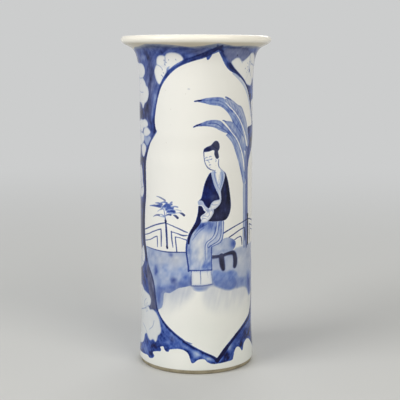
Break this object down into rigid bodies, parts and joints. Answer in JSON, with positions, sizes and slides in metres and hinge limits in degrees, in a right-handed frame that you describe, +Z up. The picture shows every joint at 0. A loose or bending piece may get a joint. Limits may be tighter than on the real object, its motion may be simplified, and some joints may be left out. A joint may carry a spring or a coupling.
{
  "type": "sleeve vase",
  "caption": "Straight porcelain sleeve vase with an everted rolled lip and turned foot ring, painted in blue with a garden scene in a lobed panel on prunus. Holds flowers or stands as decor.",
  "frame": {"origin": "centre of the plane that the foot ring stands on, on the axis of revolution", "axes": "+Z up along the axis of revolution to the mouth; -Y is the front, the side with the lobed panel that the picture shows; +X is to the right seen from the front"},
  "size_m": [0.12, 0.12, 0.265],
  "materials": {
    "porcelain": "glossy, faintly bluish-white transparent glaze over cobalt-blue brush painting; bare biscuit on the foot ring"
  },
  "bodies": {
    "root": {"foot_section": "porcelain", "middle_section": "porcelain", "mouth_section": "porcelain"}
  },
  "joints": []
}
